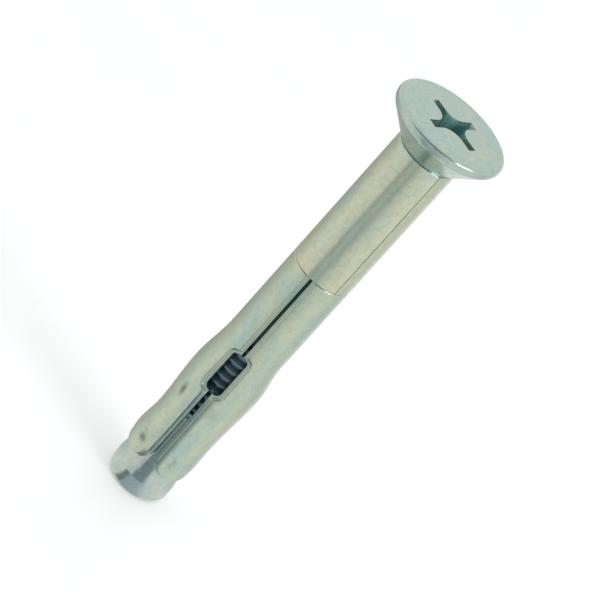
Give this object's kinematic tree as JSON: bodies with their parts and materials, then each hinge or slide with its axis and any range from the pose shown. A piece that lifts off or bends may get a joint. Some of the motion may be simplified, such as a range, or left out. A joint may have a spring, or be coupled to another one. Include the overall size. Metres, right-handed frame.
{
  "type": "countersunk sleeve anchor",
  "caption": "Countersunk sleeve anchor: cross-recess bolt, distance sleeve and slotted expansion sleeve whose legs open as the cone nut is drawn up.",
  "frame": {"origin": "centre of the head's flat face, which lies flush with the surface of the fixture", "axes": "+Z is the anchor's axis and points out of the wall, from the nut to the head; the window and slot of the expansion sleeve face -Y; +X is to the right as seen from the slot"},
  "size_m": [0.0176, 0.0176, 0.0732],
  "materials": {
    "zinc_bolt": "bright zinc plate with a faint green and blue passivation tint",
    "zinc_sheet": "bright zinc plate on rolled sheet, faint yellow-green passivation tint",
    "zinc_nut": "bright zinc plate, slightly duller"
  },
  "bodies": {
    "expansion_sleeve": {"expansion_sleeve_collar": "zinc_sheet"},
    "bolt": {"countersunk_bolt": "zinc_bolt"},
    "spacer": {"spacer_sleeve": "zinc_sheet"},
    "nut": {"cone_nut": "zinc_nut"},
    "leg_right": {"expansion_leg_right": "zinc_sheet"},
    "leg_back": {"expansion_leg_back": "zinc_sheet"},
    "leg_left": {"expansion_leg_left": "zinc_sheet"}
  },
  "joints": [
    {"name": "bolt_turn", "type": "hinge", "parent": "expansion_sleeve", "child": "bolt", "pos_m": [0, 0, 0], "axis": [0, 0, -1], "range_deg": [0, 1080]},
    {"name": "nut_draw", "type": "slide", "parent": "expansion_sleeve", "child": "nut", "axis": [0, 0, 1], "range_m": [0, 0.00424]},
    {"name": "spacer_spin", "type": "hinge", "parent": "expansion_sleeve", "child": "spacer", "pos_m": [0, 0, -0.0171], "axis": [0, 0, 1], "continuous": true},
    {"name": "leg_right_bend", "type": "hinge", "parent": "expansion_sleeve", "child": "leg_right", "pos_m": [0.00443, -0.00255, -0.04768], "axis": [-0.5, -0.866, 0], "range_deg": [0, 2.51]},
    {"name": "leg_back_bend", "type": "hinge", "parent": "expansion_sleeve", "child": "leg_back", "pos_m": [0, 0.00508, -0.04768], "axis": [1, 0, 0], "range_deg": [0, 2.51]},
    {"name": "leg_left_bend", "type": "hinge", "parent": "expansion_sleeve", "child": "leg_left", "pos_m": [-0.00438, -0.00253, -0.04768], "axis": [-0.5, 0.866, 0], "range_deg": [0, 2.51]}
  ],
  "couplings": [
    {"joint": "nut_draw", "follows": "bolt_turn", "m_per_rad": 0.00022457},
    {"joint": "leg_right_bend", "follows": "bolt_turn", "ratio": 0.0023148},
    {"joint": "leg_back_bend", "follows": "bolt_turn", "ratio": 0.0023148},
    {"joint": "leg_left_bend", "follows": "bolt_turn", "ratio": 0.0023148}
  ]
}
